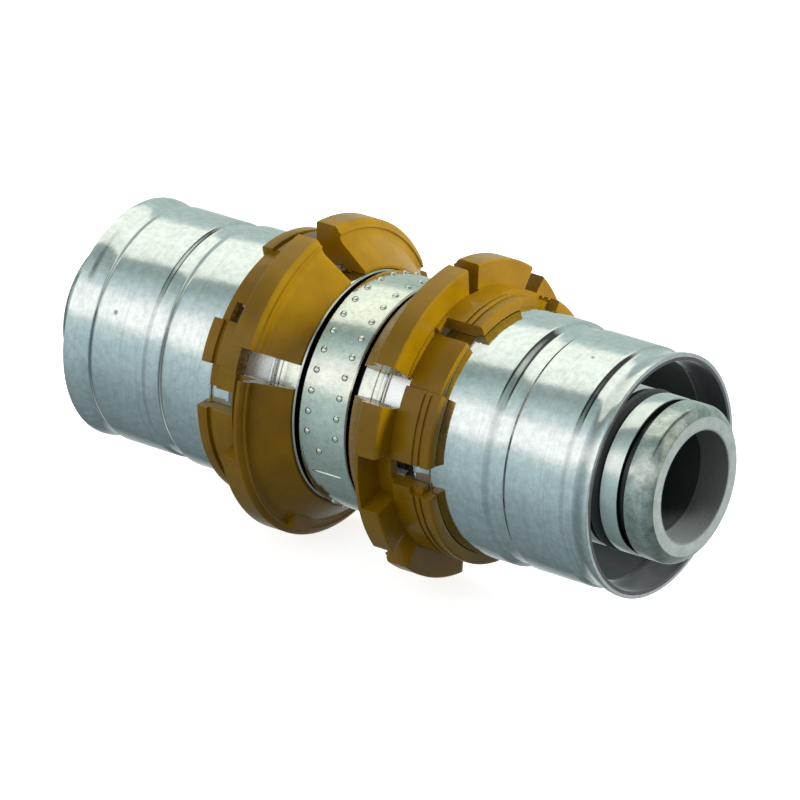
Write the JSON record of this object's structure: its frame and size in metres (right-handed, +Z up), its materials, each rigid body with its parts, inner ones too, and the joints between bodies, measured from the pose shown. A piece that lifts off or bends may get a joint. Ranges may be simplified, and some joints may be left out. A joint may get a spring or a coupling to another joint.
{
  "type": "straight press coupling",
  "caption": "Straight press coupling for multilayer pipe: tinned brass body with grooved inserts, aluminium press sleeves, rubber O-rings and ochre plastic stop rings.",
  "frame": {"origin": "centre of the coupling: on its long axis, midway between the two insert tips", "axes": "+X along the axis towards one insert tip, +Z up through the middle of the narrow slot at the top of the right stop ring, +Y to the back"},
  "size_m": [0.0676, 0.0302, 0.0302],
  "materials": {
    "tinned_brass": "tin-plated, satin",
    "sleeve_aluminium": "rolled, bright",
    "ring_plastic": "semi-gloss ochre",
    "seal_rubber": "black, matt"
  },
  "bodies": {
    "root": {"fitting_body": "tinned_brass", "press_sleeve_right": "sleeve_aluminium", "press_sleeve_left": "sleeve_aluminium", "stop_ring_right": "ring_plastic", "stop_ring_left": "ring_plastic", "oring_right_outer": "seal_rubber", "oring_right_inner": "seal_rubber", "oring_left_outer": "seal_rubber", "oring_left_inner": "seal_rubber"}
  },
  "joints": []
}
